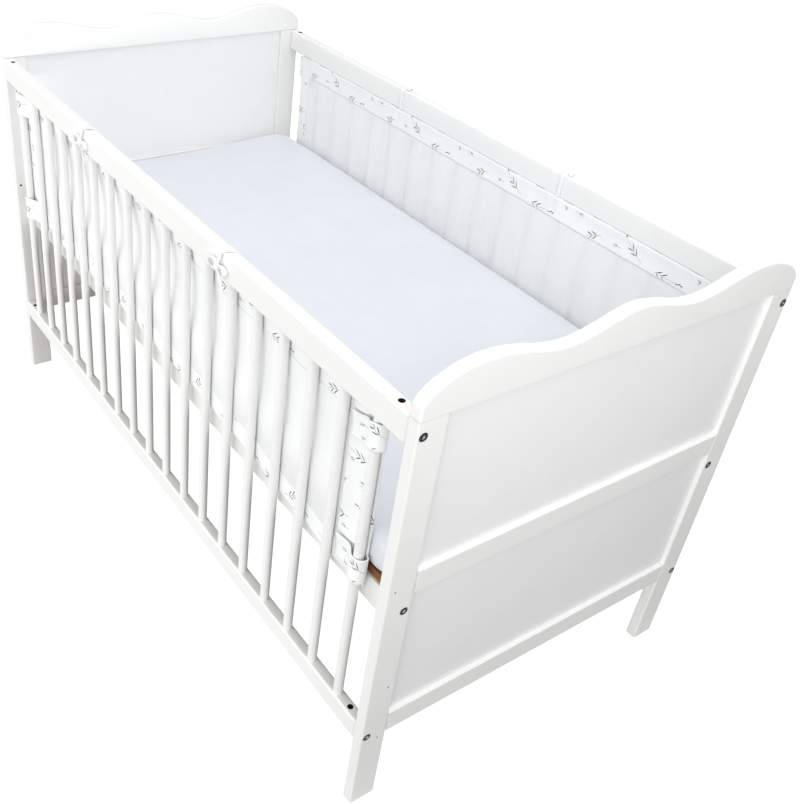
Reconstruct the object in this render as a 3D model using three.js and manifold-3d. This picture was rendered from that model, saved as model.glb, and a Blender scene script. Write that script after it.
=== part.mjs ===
import * as THREE from "three";
import { mergeVertices } from "three/addons/utils/BufferGeometryUtils.js";
import Module from "manifold-3d";

const wasm = await Module();
wasm.setup();

// Cot sizes in millimetres
const INSIDE_LENGTH = 1404;
const OUTER_WIDTH = 748;
const BOARD = 21;
const BOARD_ROUND = 4;
const POST_DEPTH = 49;
const JOINT_HEIGHT = 792;
const TOP_RAIL_HEIGHT = 47;
const BOTTOM_RAIL_LOW = 153;
const BOTTOM_RAIL_HEIGHT = 40;
const DOWEL_COUNT = 18;
const DOWEL_DIAMETER = 16;
const DOWEL_SPAN = 1281;
const DOWEL_SIDES = 12;
const END_LOW_RAIL = [162, 206];
const END_MID_RAIL = [476, 518];
const END_PANEL_THICKNESS = 6;
const SEAT = 0.3;

// Barrel nut holes in the side rails and bolts in the posts
const NUT_HOLE_DIAMETER = 10;
const NUT_HOLE_DEPTH = 14;
const NUT_HOLE_INSET = 27;
const BOLT_HEAD_DIAMETER = 13;
const BOLT_HEAD_HEIGHT = 3;
const BOLT_STAND = 0.5;
const BOLT_SIDES = 12;
const BOLT_SOCKET = 6;
const BOLT_SOCKET_DEPTH = 2;
const BASE_BOLT_Y = 338;
const BASE_BOLT_Z = 447;

// Mattress and the base under it
const MATTRESS_SIZE = [1400, 698];
const MATTRESS_Z = [470, 540];
const MATTRESS_EDGE = 22;
const MATTRESS_CORNER = 40;
const BASE_LENGTH = 1403.4;
const BASE_BOARD = 16;
const BASE_Z = [408, 456];
const DECK_SIZE = [1396, 684];

// Bumper sizes
const CLOTH = 2;
const PANEL_TOP = 742.6;
const PANEL_HEIGHT = 302;
const BORDER_HEIGHT = 40;
const TAB_CLOTH = 1.6;
const TAPE_WIDTH = 10;
const TAPE = 1.2;

const halfX = INSIDE_LENGTH / 2 + BOARD;
const halfY = OUTER_WIDTH / 2;
const dowelY = halfY - BOARD / 2;
const dowelPitch = DOWEL_SPAN / (DOWEL_COUNT - 1);
const railLow = JOINT_HEIGHT - TOP_RAIL_HEIGHT;
const clothY = dowelY - DOWEL_DIAMETER / 2 - SEAT - CLOTH / 2;

// Wavy top of the end boards, half of the outline from the middle: y, z
const WAVE = [
  [0, 857], [45, 850], [88, 839], [130, 834], [172, 839], [215, 850],
  [262, 857], [305, 854], [340, 842], [362, 828], [374, 812],
];

// How far each part of a panel leans in over the mattress: x, millimetres
const NEAR_LEAN = [
  [-700, 0], [-585, 0], [-520, 5], [-420, 9], [-330, 16], [-245, 21], [-160, 17], [-85, 20], [0, 17],
  [70, 13], [150, 8], [240, 4], [330, 7], [420, 4], [500, 5], [560, 0], [700, 0],
];
const FAR_LEAN = [
  [-700, 0], [-585, 0], [-450, 3], [-250, 1], [-60, 4], [130, 2], [300, 5], [460, 2], [560, 0], [700, 0],
];

// Where the lower edge of a panel hangs above or below its level: x, millimetres
const NEAR_SAG = [
  [-700, 4], [-600, 4.5], [-510, 7], [-440, 13.5], [-290, 18], [-215, 20], [-66, 19.5], [30, 16], [100, 20],
  [170, 17.5], [242, 13], [475, -2], [550, -10], [603, -12], [700, -10],
];
const FAR_SAG = [[-700, -4], [-300, 2], [0, -2], [300, 4], [700, -6]];

// Bulge of the cloth in each gap between two dowels, as a share of the deepest
const GAP_BULGE = [0, 0.7, 0.9, 0.6, 1, 0.8, 0.5, 0.9, 0.7, 1, 0.6, 0.8, 0.5, 0.9, 0.7, 0.5, 0];
const BULGE_DEPTH = 2.6;

// Heights at which the lean starts, is full, starts to fade and is gone
const LEAN_HEIGHTS = [546, 614, 632, 738];

// Panels: side, ends in x, band widths at the two ends, tie places, fineness of the sheets
const PANELS = [
  { name: "near", side: -1, ends: [-648, 648], bands: [50, 74], ties: [-281, 243],
    lean: NEAR_LEAN, sag: NEAR_SAG, steps: 4, meshRows: 7 },
  { name: "far", side: 1, ends: [-641, 646], bands: [36, 48], ties: [-245, 245],
    lean: FAR_LEAN, sag: FAR_SAG, steps: 3, meshRows: 4 },
];

// Path of a tab round the end dowel, seen from above: from dowel axis outward, from cloth outward
const TAB_PATH = [
  [12, 1], [14.6, 5], [14.2, 10], [10.5, 15.8], [4, 18.8], [-3, 18.9], [-11, 15.4],
  [-21, 8.2], [-32, 3.6], [-44, 2.25], [-60, 2.25],
];

const WOOD = { color: 0xf4f3ef, roughness: 0.45 };
const MESH = { color: 0xeceef0, roughness: 0.95 };
const PRINT = { color: 0xf6f6f7, roughness: 0.9 };
const FOAM = { color: 0xe9ebf2, roughness: 0.9 };
const RAW_BOARD = { color: 0x9a6a44, roughness: 0.85 };
const METAL = { color: 0x8f9092, roughness: 0.35, metalness: 0.9 };

const object = new THREE.Group();
object.name = "crib_bumper_on_cot";

function addPiece(name, geometry, look) {
  const material = new THREE.MeshStandardMaterial({ metalness: 0, ...look });
  const mesh = new THREE.Mesh(geometry, material);
  mesh.name = name;
  object.add(mesh);
}

function toSolid(geometry) {
  const plain = geometry.clone();
  plain.deleteAttribute("normal");
  plain.deleteAttribute("uv");
  const welded = mergeVertices(plain, 1e-4);
  const mesh = new wasm.Mesh({
    numProp: 3,
    vertProperties: new Float32Array(welded.attributes.position.array),
    triVerts: new Uint32Array(welded.index.array),
  });
  return new wasm.Manifold(mesh);
}

function toGeometry(solid) {
  const mesh = solid.getMesh();
  const geometry = new THREE.BufferGeometry();
  geometry.setAttribute("position", new THREE.BufferAttribute(new Float32Array(mesh.vertProperties), 3));
  geometry.setIndex(new THREE.BufferAttribute(new Uint32Array(mesh.triVerts), 1));
  geometry.computeVertexNormals();
  return geometry;
}

function joinAll(geometries) {
  return geometries.map(toSolid).reduce((whole, solid) => whole.add(solid));
}

// Value at x in a table of x, value rows, eased between rows
function fromTable(table, x) {
  const last = table.length - 1;
  if (x <= table[0][0]) return table[0][1];
  if (x >= table[last][0]) return table[last][1];
  const next = table.findIndex((row) => row[0] > x);
  const [x0, v0] = table[next - 1];
  const [x1, v1] = table[next];
  return v0 + (v1 - v0) * THREE.MathUtils.smoothstep(x, x0, x1);
}

function roundedRect(width, height, radius) {
  const [w, h] = [width / 2, height / 2];
  const shape = new THREE.Shape();
  shape.moveTo(-w + radius, -h);
  shape.lineTo(w - radius, -h);
  shape.absarc(w - radius, -h + radius, radius, -Math.PI / 2, 0);
  shape.lineTo(w, h - radius);
  shape.absarc(w - radius, h - radius, radius, 0, Math.PI / 2);
  shape.lineTo(-w + radius, h);
  shape.absarc(-w + radius, h - radius, radius, Math.PI / 2, Math.PI);
  shape.lineTo(-w, -h + radius);
  shape.absarc(-w + radius, -h + radius, radius, Math.PI, Math.PI * 1.5);
  shape.closePath();
  return shape;
}

function extrude(shape, depth, curveSegments = 3) {
  return new THREE.ExtrudeGeometry(shape, { depth, curveSegments, bevelEnabled: false });
}

// Bar of rounded section with its length along x, from x0 to x1, centred at y, z
function barAlongX(x0, x1, y, z, depthY, heightZ, radius) {
  const bar = extrude(roundedRect(depthY, heightZ, radius), x1 - x0);
  bar.rotateX(Math.PI / 2);
  bar.rotateZ(Math.PI / 2);
  return bar.translate(x0, y, z);
}

// Bar of rounded section with its length along y
function barAlongY(y0, y1, x, z, depthX, heightZ, radius) {
  const bar = barAlongX(y0, y1, 0, 0, depthX, heightZ, radius);
  bar.rotateZ(Math.PI / 2);
  return bar.translate(x, 0, z);
}

function upright(radius, z0, z1, sides) {
  const cylinder = new THREE.CylinderGeometry(radius, radius, z1 - z0, sides);
  cylinder.rotateX(Math.PI / 2);
  return cylinder.translate(0, 0, (z0 + z1) / 2);
}

// Triangles in the order that makes the enclosed volume positive
function facingOut(positions, index) {
  const [a, b, c] = [new THREE.Vector3(), new THREE.Vector3(), new THREE.Vector3()];
  let volume = 0;
  for (let i = 0; i < index.length; i += 3) {
    a.fromArray(positions, index[i] * 3);
    b.fromArray(positions, index[i + 1] * 3);
    c.fromArray(positions, index[i + 2] * 3);
    volume += a.dot(b.cross(c));
  }
  return volume < 0 ? [...index].reverse() : index;
}

// Closed sheet through a grid of points, thickened evenly to both sides
function sheetSolid(point, columns, rows, thickness) {
  const stride = rows + 1;
  const count = (columns + 1) * stride;
  const grid = [];
  for (let i = 0; i <= columns; i += 1) {
    for (let j = 0; j <= rows; j += 1) grid.push(point(i / columns, j / rows));
  }
  const at = (i, j) => grid[i * stride + j];
  const positions = new Float32Array(count * 6);
  for (let i = 0; i <= columns; i += 1) {
    for (let j = 0; j <= rows; j += 1) {
      const along = at(Math.min(i + 1, columns), j).clone().sub(at(Math.max(i - 1, 0), j));
      const across = at(i, Math.min(j + 1, rows)).clone().sub(at(i, Math.max(j - 1, 0)));
      const normal = along.cross(across).normalize();
      const front = at(i, j).clone().addScaledVector(normal, thickness / 2);
      const back = at(i, j).clone().addScaledVector(normal, -thickness / 2);
      front.toArray(positions, (i * stride + j) * 3);
      back.toArray(positions, (count + i * stride + j) * 3);
    }
  }
  const index = [];
  const quad = (a, b, c, d) => index.push(a, b, c, a, c, d);
  for (let i = 0; i < columns; i += 1) {
    for (let j = 0; j < rows; j += 1) {
      const a = i * stride + j;
      quad(a, a + stride, a + stride + 1, a + 1);
      quad(count + a, count + a + 1, count + a + stride + 1, count + a + stride);
    }
  }
  for (let i = 0; i < columns; i += 1) {
    const low = i * stride;
    const high = low + rows;
    quad(low, count + low, count + low + stride, low + stride);
    quad(high, high + stride, count + high + stride, count + high);
  }
  for (let j = 0; j < rows; j += 1) {
    const first = j;
    const last = columns * stride + j;
    quad(first, first + 1, count + first + 1, count + first);
    quad(last, count + last, count + last + 1, last + 1);
  }
  const geometry = new THREE.BufferGeometry();
  geometry.setAttribute("position", new THREE.BufferAttribute(positions, 3));
  geometry.setIndex(facingOut(positions, index));
  geometry.computeVertexNormals();
  return geometry;
}

// Slatted side: two rails and the dowels between them in one frame, with the nut holes
function buildSide(name, side) {
  const end = INSIDE_LENGTH / 2 - SEAT;
  const y = side * dowelY;
  const topZ = JOINT_HEIGHT - TOP_RAIL_HEIGHT / 2;
  const lowZ = BOTTOM_RAIL_LOW + BOTTOM_RAIL_HEIGHT / 2;
  const sunk = 10;
  const pieces = [
    barAlongX(-end, end, y, topZ, BOARD, TOP_RAIL_HEIGHT, BOARD_ROUND),
    barAlongX(-end, end, y, lowZ, BOARD, BOTTOM_RAIL_HEIGHT, BOARD_ROUND),
  ];
  const dowelLow = BOTTOM_RAIL_LOW + BOTTOM_RAIL_HEIGHT - sunk;
  for (let i = 0; i < DOWEL_COUNT; i += 1) {
    const dowel = upright(DOWEL_DIAMETER / 2, dowelLow, railLow + sunk, DOWEL_SIDES);
    pieces.push(dowel.translate(-DOWEL_SPAN / 2 + i * dowelPitch, y, 0));
  }
  let frame = joinAll(pieces);
  for (const top of [JOINT_HEIGHT, BOTTOM_RAIL_LOW + BOTTOM_RAIL_HEIGHT]) {
    for (const x of [-1, 1]) {
      const hole = upright(NUT_HOLE_DIAMETER / 2, top - NUT_HOLE_DEPTH, top + sunk, DOWEL_SIDES);
      frame = frame.subtract(toSolid(hole.translate(x * (INSIDE_LENGTH / 2 - NUT_HOLE_INSET), y, 0)));
    }
  }
  addPiece(name, toGeometry(frame), WOOD);
}

// Bolt places on a post: distance from the middle in y, height
const BOLTS = [
  { name: "top", y: dowelY, z: JOINT_HEIGHT - TOP_RAIL_HEIGHT / 2 },
  { name: "base", y: BASE_BOLT_Y, z: BASE_BOLT_Z },
  { name: "low", y: dowelY, z: BOTTOM_RAIL_LOW + BOTTOM_RAIL_HEIGHT / 2 },
];

function boltHead(end, side, bolt) {
  const outer = end * halfX;
  const radius = BOLT_HEAD_DIAMETER / 2;
  const disc = new THREE.CylinderGeometry(radius, radius, BOLT_HEAD_HEIGHT, BOLT_SIDES);
  const socket = new THREE.CylinderGeometry(BOLT_SOCKET / 2, BOLT_SOCKET / 2, BOLT_SOCKET_DEPTH * 2, 6);
  for (const shape of [disc, socket]) shape.rotateZ(Math.PI / 2);
  disc.translate(outer + end * (BOLT_STAND - BOLT_HEAD_HEIGHT / 2), side * bolt.y, bolt.z);
  socket.translate(outer + end * BOLT_STAND, side * bolt.y, bolt.z);
  return toGeometry(toSolid(disc).subtract(toSolid(socket)));
}

function buildPost(endName, end, sideName, side) {
  const section = roundedRect(BOARD, POST_DEPTH, BOARD_ROUND - 1);
  const post = extrude(section, JOINT_HEIGHT);
  post.translate(end * (halfX - BOARD / 2), side * (halfY - POST_DEPTH / 2), 0);
  let solid = toSolid(post);
  for (const bolt of BOLTS) {
    const bore = BOLT_HEAD_DIAMETER / 2 + SEAT;
    const hole = new THREE.CylinderGeometry(bore, bore, BOLT_HEAD_HEIGHT * 2, BOLT_SIDES);
    hole.rotateZ(Math.PI / 2);
    hole.translate(end * (halfX + BOLT_STAND - SEAT), side * bolt.y, bolt.z);
    solid = solid.subtract(toSolid(hole));
    addPiece(`bolt_${bolt.name}_${endName}_${sideName}`, boltHead(end, side, bolt), METAL);
  }
  addPiece(`post_${endName}_${sideName}`, toGeometry(solid), WOOD);
}

// Wavy end board that sits on the two posts
function waveBoard(end) {
  const half = WAVE.map(([y, z]) => new THREE.Vector2(y, z));
  const mirrored = half.slice(1).reverse().map((p) => new THREE.Vector2(-p.x, p.y));
  const crest = new THREE.SplineCurve([...mirrored, ...half]).getPoints(40);
  const low = JOINT_HEIGHT + SEAT;
  const outline = [new THREE.Vector2(halfY, low), ...crest.reverse(), new THREE.Vector2(-halfY, low)];
  const edge = 4;
  const board = new THREE.ExtrudeGeometry(new THREE.Shape(outline), {
    depth: BOARD - 2 * edge, bevelEnabled: true, bevelThickness: edge, bevelSize: edge, bevelOffset: -edge,
    bevelSegments: 2,
  });
  board.rotateX(Math.PI / 2);
  board.rotateZ(Math.PI / 2);
  return board.translate(end * (halfX - BOARD / 2) - (BOARD - 2 * edge) / 2, 0, 0);
}

function buildEnd(endName, end) {
  const x = end * (halfX - BOARD / 2);
  const span = halfY - POST_DEPTH - SEAT;
  const rails = [["end_rail_low", END_LOW_RAIL], ["end_rail_mid", END_MID_RAIL]];
  for (const [name, [low, high]] of rails) {
    const rail = barAlongY(-span, span, x, (low + high) / 2, BOARD, high - low, 1.5);
    addPiece(`${name}_${endName}`, rail, WOOD);
  }
  const fields = [
    ["end_panel_low", END_LOW_RAIL[1], END_MID_RAIL[0]],
    ["end_panel_high", END_MID_RAIL[1], JOINT_HEIGHT],
  ];
  for (const [name, low, high] of fields) {
    const panel = new THREE.BoxGeometry(END_PANEL_THICKNESS, 2 * span, high - low - 2 * SEAT);
    addPiece(`${name}_${endName}`, panel.translate(x, 0, (low + high) / 2), WOOD);
  }
  addPiece(`end_board_${endName}`, toGeometry(toSolid(waveBoard(end))), WOOD);
}

function buildMattress() {
  const [low, high] = MATTRESS_Z;
  const shape = roundedRect(MATTRESS_SIZE[0], MATTRESS_SIZE[1], MATTRESS_CORNER);
  const mattress = new THREE.ExtrudeGeometry(shape, {
    depth: high - low - 2 * MATTRESS_EDGE, curveSegments: 4, bevelEnabled: true,
    bevelThickness: MATTRESS_EDGE, bevelSize: MATTRESS_EDGE, bevelOffset: -MATTRESS_EDGE, bevelSegments: 3,
  });
  addPiece("mattress", mattress.translate(0, 0, low + MATTRESS_EDGE), FOAM);
  for (const panel of PANELS) {
    const board = new THREE.BoxGeometry(BASE_LENGTH, BASE_BOARD, BASE_Z[1] - BASE_Z[0]);
    board.translate(0, panel.side * BASE_BOLT_Y, (BASE_Z[0] + BASE_Z[1]) / 2);
    addPiece(`mattress_base_board_${panel.name}`, board, WOOD);
  }
  const deckLow = BASE_Z[1] + SEAT;
  const deckHigh = low - SEAT;
  const deck = new THREE.BoxGeometry(DECK_SIZE[0], DECK_SIZE[1], deckHigh - deckLow);
  addPiece("mattress_base_deck", deck.translate(0, 0, (deckLow + deckHigh) / 2), RAW_BOARD);
}

// Middle of the hanging cloth at x, z: leans in above the mattress, bulges out between dowels
function clothPoint(panel, x, z) {
  const rise = THREE.MathUtils.smoothstep(z, LEAN_HEIGHTS[0], LEAN_HEIGHTS[1]);
  const fall = 1 - THREE.MathUtils.smoothstep(z, LEAN_HEIGHTS[2], LEAN_HEIGHTS[3]);
  const lean = fromTable(panel.lean, x) * rise * fall;
  const gap = (x + DOWEL_SPAN / 2) / dowelPitch;
  const share = GAP_BULGE[Math.floor(gap)] ?? 0;
  const clear = 1 - THREE.MathUtils.smoothstep(lean, 0, 4);
  const topFade = 1 - THREE.MathUtils.smoothstep(z, PANEL_TOP - 1.5 * BORDER_HEIGHT, PANEL_TOP);
  const bulge = BULGE_DEPTH * share * (0.5 - 0.5 * Math.cos(gap * 2 * Math.PI)) * clear * topFade;
  return new THREE.Vector3(x, panel.side * (clothY - lean + bulge), z);
}

// Places in x between two ends: the dowels, and even steps in the gaps between them
function columnPlaces(x0, x1, steps) {
  const places = [x0];
  for (let k = 0; k <= (DOWEL_COUNT - 1) * steps; k += 1) {
    const x = -DOWEL_SPAN / 2 + (k * dowelPitch) / steps;
    if (x > x0 + 3 && x < x1 - 3) places.push(x);
  }
  places.push(x1);
  return places;
}

// Mesh, its two borders and its two end bands, side by side in the same hanging surface
function buildCloth(panel) {
  const [left, right] = panel.ends;
  const [leftBand, rightBand] = panel.bands;
  const low = (x) => PANEL_TOP - PANEL_HEIGHT + fromTable(panel.sag, x);
  const seamTop = PANEL_TOP - BORDER_HEIGHT;
  const sheet = (name, x0, x1, lower, upper, rows, look) => {
    const places = columnPlaces(x0, x1, panel.steps);
    const columns = places.length - 1;
    const point = (u, v) => {
      const x = places[Math.round(u * columns)];
      return clothPoint(panel, x, lower(x) + (upper(x) - lower(x)) * v);
    };
    addPiece(`${name}_${panel.name}`, sheetSolid(point, columns, rows, CLOTH), look);
  };
  const meshLeft = left + leftBand + SEAT;
  const meshRight = right - rightBand - SEAT;
  const lowSeam = (x) => low(x) + BORDER_HEIGHT;
  const top = () => PANEL_TOP;
  const meshLow = (x) => lowSeam(x) + SEAT;
  sheet("mesh_panel", meshLeft, meshRight, meshLow, () => seamTop - SEAT, panel.meshRows, MESH);
  sheet("border_top", meshLeft, meshRight, () => seamTop, top, 1, PRINT);
  sheet("border_low", meshLeft, meshRight, low, lowSeam, 1, PRINT);
  sheet("band_left", left, left + leftBand, low, top, 8, PRINT);
  sheet("band_right", right - rightBand, right, low, top, 8, PRINT);
}

// Tabs that pass round the end dowels and close on the back of the cloth
const TABS = [
  { name: "tab_top_left", end: -1, top: PANEL_TOP - 3, height: 46, slant: -5 },
  { name: "tab_low_left", end: -1, drop: 5, height: 50, slant: -3 },
  { name: "tab_top_right", end: 1, top: PANEL_TOP - 3, height: 44, slant: -24 },
  { name: "tab_low_right", end: 1, drop: 21, height: 47, slant: -7 },
];

function buildTabs(panel) {
  for (const tab of TABS) {
    const clothEnd = panel.ends[tab.end < 0 ? 0 : 1];
    const axis = (tab.end * DOWEL_SPAN) / 2;
    const first = new THREE.Vector2(Math.abs(clothEnd - axis) + SEAT, 0);
    const path = [first, ...TAB_PATH.map(([out, back]) => new THREE.Vector2(out, back))];
    const curve = new THREE.SplineCurve(path);
    const level = PANEL_TOP - PANEL_HEIGHT + fromTable(panel.sag, clothEnd);
    const lowZ = tab.top === undefined ? level + tab.drop : tab.top - tab.height;
    const point = (u, v) => {
      const p = curve.getPoint(u);
      const z = lowZ + tab.height * v + tab.slant * THREE.MathUtils.smoothstep(u, 0.45, 1);
      return new THREE.Vector3(axis + tab.end * p.x, panel.side * (clothY + p.y), z);
    };
    addPiece(`${tab.name}_${panel.name}`, sheetSolid(point, 20, 1, TAB_CLOTH), PRINT);
  }
}

// Flat tape along a path of points, with its width in a given direction and a share of it at each place
function tape(points, width, spread) {
  const curve = new THREE.CatmullRomCurve3(points);
  const point = (u, v) => {
    const p = curve.getPoint(u);
    return p.addScaledVector(width, (v - 0.5) * TAPE_WIDTH * spread(u));
  };
  return sheetSolid(point, 8, 1, TAPE);
}

// Ties: a tape round the top rail, tied in a small bow on its outer face
const KNOT = { z: 766, out: 6.4, radius: [8, 5, 7] };
const BOW_LOOPS = [
  { reach: 26, droop: -6, deep: 8 },
  { reach: -22, droop: 2, deep: 7 },
];
const BOW_ENDS = [
  [[3, 7, -2], [9, 7.4, -14], [14, 6.8, -26], [17, 6, -38]],
  [[2, 7, 3], [7, 7, 16], [13, 4.4, 27], [18, -5, 30], [22, -15, 29.6]],
];

function buildTie(panel, index) {
  const x = panel.ties[index];
  const y = (out) => panel.side * (halfY + out);
  const round = BOARD_ROUND + SEAT;
  const ring = roundedRect(BOARD + 2 * (SEAT + TAPE), TOP_RAIL_HEIGHT + 2 * (SEAT + TAPE), round + TAPE);
  ring.holes.push(roundedRect(BOARD + 2 * SEAT, TOP_RAIL_HEIGHT + 2 * SEAT, round));
  const band = extrude(ring, TAPE_WIDTH);
  band.rotateX(Math.PI / 2);
  band.rotateZ(Math.PI / 2);
  band.translate(x - TAPE_WIDTH / 2, panel.side * dowelY, JOINT_HEIGHT - TOP_RAIL_HEIGHT / 2);
  const knot = new THREE.SphereGeometry(1, 8, 5);
  knot.scale(...KNOT.radius);
  knot.translate(x, y(KNOT.out), KNOT.z);
  const pieces = [band, knot];
  const place = ([dx, out, dz]) => new THREE.Vector3(x + dx, y(out), KNOT.z + dz);
  for (const loop of BOW_LOOPS) {
    const { reach, droop, deep } = loop;
    const path = [
      [0, KNOT.out - 1, 0], [reach * 0.4, KNOT.out - 3.4, droop * 0.4],
      [reach * 0.85, KNOT.out - 2.6, droop], [reach, KNOT.out + 0.6, droop],
      [reach * 0.8, KNOT.out + deep - 4, droop], [0, KNOT.out + 1.4, 0],
    ];
    const spread = (u) => 0.55 + 0.45 * Math.sin(Math.PI * u);
    pieces.push(tape(path.map(place), new THREE.Vector3(0, 0, 1), spread));
  }
  for (const free of BOW_ENDS) {
    pieces.push(tape(free.map(place), new THREE.Vector3(1, 0, 0), (u) => 0.6 + 0.4 * u));
  }
  addPiece(`tie_${index === 0 ? "left" : "right"}_${panel.name}`, toGeometry(joinAll(pieces)), PRINT);
}

buildSide("side_near", -1);
buildSide("side_far", 1);
for (const [endName, end] of [["left", -1], ["right", 1]]) {
  buildEnd(endName, end);
  for (const panel of PANELS) buildPost(endName, end, panel.name, panel.side);
}
buildMattress();
for (const panel of PANELS) {
  buildCloth(panel);
  buildTabs(panel);
  panel.ties.forEach((_, index) => buildTie(panel, index));
}

export default object;
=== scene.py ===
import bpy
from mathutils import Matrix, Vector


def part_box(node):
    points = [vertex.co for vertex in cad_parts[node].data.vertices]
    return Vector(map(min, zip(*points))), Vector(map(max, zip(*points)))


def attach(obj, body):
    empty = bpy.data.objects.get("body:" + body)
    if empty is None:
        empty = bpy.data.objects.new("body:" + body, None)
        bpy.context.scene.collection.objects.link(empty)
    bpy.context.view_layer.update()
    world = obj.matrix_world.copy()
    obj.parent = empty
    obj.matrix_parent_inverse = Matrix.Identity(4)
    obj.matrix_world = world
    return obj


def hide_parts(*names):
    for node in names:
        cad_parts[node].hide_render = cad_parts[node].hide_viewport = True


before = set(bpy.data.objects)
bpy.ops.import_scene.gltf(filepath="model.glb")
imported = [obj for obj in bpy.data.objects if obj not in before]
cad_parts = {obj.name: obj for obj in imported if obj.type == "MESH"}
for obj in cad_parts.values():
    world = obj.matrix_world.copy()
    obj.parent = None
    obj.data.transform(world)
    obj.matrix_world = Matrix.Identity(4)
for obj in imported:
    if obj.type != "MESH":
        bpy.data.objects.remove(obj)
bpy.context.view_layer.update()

import math
from contextlib import contextmanager

import bpy
from bpy.props import FloatProperty, FloatVectorProperty, IntProperty, PointerProperty
from mathutils import Vector

bl_info = {
    "name": "Crib bumper on a slatted cot bed",
    "version": (1, 0, 0),
    "blender": (4, 5, 0),
    "location": "3D View > Sidebar > Cot bumper",
    "description": "Mesh bumper with printed edges, tied to the slatted sides of a painted cot bed",
    "category": "Object",
}

# Lengths in the tables are in millimetres
MM = 0.001

# Cot: half sizes over all, boards, posts and rails
HALF_X = 723
HALF_Y = 374
BOARD = 21
INNER_X = HALF_X - BOARD
JOINT_Z = 792
POST_DEPTH = 49
POST_ROUND = 3
SAW_WASTE = 8
RAIL_END = 701.7
RAILS = {"rail_top": (745, JOINT_Z), "rail_low": (153, 193)}
NUT_HOLE_X = 675
NUT_HOLE_DEPTH = 14
CUT_PAST = 6
DOWEL_Y = 363.5
TENON = 10
CROSS_RAILS = {"low": (162, 206), "mid": (476, 518)}
CROSS_RAIL_HALF = 324.7

# Corners of the cot, as the first one mirrored
CORNERS = {
    "right_near": (1, 1, 1), "left_near": (-1, 1, 1), "right_far": (1, -1, 1), "left_far": (-1, -1, 1),
}
ALONG_X = (0, math.pi / 2, 0)
UPRIGHT = (0, 0, 0)

# Bolt places on a post: distance from the middle, height
BOLTS = {"top": (363.5, 768.5), "base": (338, 447), "low": (363.5, 173)}
BOLT_RADIUS = 6.5
BOLT_HEAD = 3
BOLT_STAND = 0.5
BOLT_RIM = 1.1
BOLT_RIM_FROM = 4
# Small hole inside each post, and small screw holes in the near right one, dark with painted shade:
# distance, height
PEG_HOLE = (-363, 500)
SCREW_HOLES = [(-361, 496), (-338.5, 279), (-341.6, 157.6)]
# Radius and length of the cutters, half of which goes in
BOLT_SOCKET = (3, 2.6)
COUNTERBORE = (7.1, 6)
PEG_BORE = (2.6, 6)
SCREW_HOLE_BORE = (1.5, 4)

# Wavy end board: half outline, distance from the middle and height
WAVE = [
    (0, 857), (45, 850), (88, 839), (130, 834), (172, 839), (215, 850), (262, 857), (305, 854),
    (340, 842), (362, 828), (374, 812),
]
WAVE_FOOT = 776
WAVE_ROUND = 4
WAVE_SEAT = 0.8

# Mattress: start of its soft edge, heights between which the top fades in, let-down head end
MATTRESS_EDGE_FROM = (650, 300)
MATTRESS_TOP = (500, 536)
MATTRESS_CROWN = 2.2
MATTRESS_PUCKER = 0.9
HEAD_DROOP = 16.5
HEAD_DROOP_X = (520, 690)
HEAD_DROOP_Y = (0, 345)

# How the cloth leans into the cot over the mattress, along the panel
LEAN = {
    "near": [
        (-700, 0), (-585, 0), (-520, 5), (-420, 9), (-330, 16), (-245, 21), (-160, 17), (-85, 20),
        (0, 17), (70, 13), (150, 8), (240, 4), (330, 7), (420, 4), (500, 5), (560, 0), (700, 0),
    ],
    "far": [
        (-700, 0), (-585, 0), (-450, 3), (-250, 1), (-60, 4), (130, 2), (300, 5), (460, 2), (560, 0),
        (700, 0),
    ],
}
# How far the low edge hangs above or below its level, along the panel
SAG = {
    "near": [
        (-700, 4), (-600, 4.5), (-510, 7), (-440, 13.5), (-290, 18), (-215, 20), (-66, 19.5), (30, 16),
        (100, 20), (170, 17.5), (242, 13), (475, -2), (550, -10), (603, -12), (700, -10),
    ],
    "far": [(-700, -4), (-300, 2), (0, -2), (300, 4), (700, -6)],
}
# Share of the outward bulge in each gap between dowels
GAP_BULGE = [0, 0.7, 0.9, 0.6, 1, 0.8, 0.5, 0.9, 0.7, 1, 0.6, 0.8, 0.5, 0.9, 0.7, 0.5, 0]
BULGE_DEPTH = 2.6

# Panels: side of the cot, ends, widths of the end bands, places of the ties, tuck of the top edge
# up and in, start of the print
PANELS = {
    "near": {
        "side": -1, "ends": (-648, 648), "bands": (50, 74), "ties": (-281, 243), "tuck": (2.2, 0),
        "print": 145,
    },
    "far": {
        "side": 1, "ends": (-641, 646), "bands": (36, 48), "ties": (-245, 245), "tuck": (3.4, 1.3),
        "print": 17,
    },
}
CLOTH_Y = 354.2
PANEL_TOP = 742.6
SEAM_ALLOWANCE = 4
PANEL_HEIGHT = 302
BORDER_HEIGHT = 40
# Heights between which the lean begins and ends, the creases fade and a tie pulls at the cloth
LEAN_BEGINS = (546, 614)
LEAN_ENDS = (632, 738)
CREASES_FADE = (690, 735)
TIE_PULLS = (660, 735)
TUCKS_IN = (728, 742)
# Small puckers that a tie pulls: how far along, depth, pitch
TIE_REACH = 26
TIE_PUCKER = 0.9
TIE_PUCKER_PITCH = 4.2
# Distance from the seam over which the thicker turned-in cotton fades
HEM = (1.5, 5.0)
TAB_HEM = (1.5, 4.5)

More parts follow.
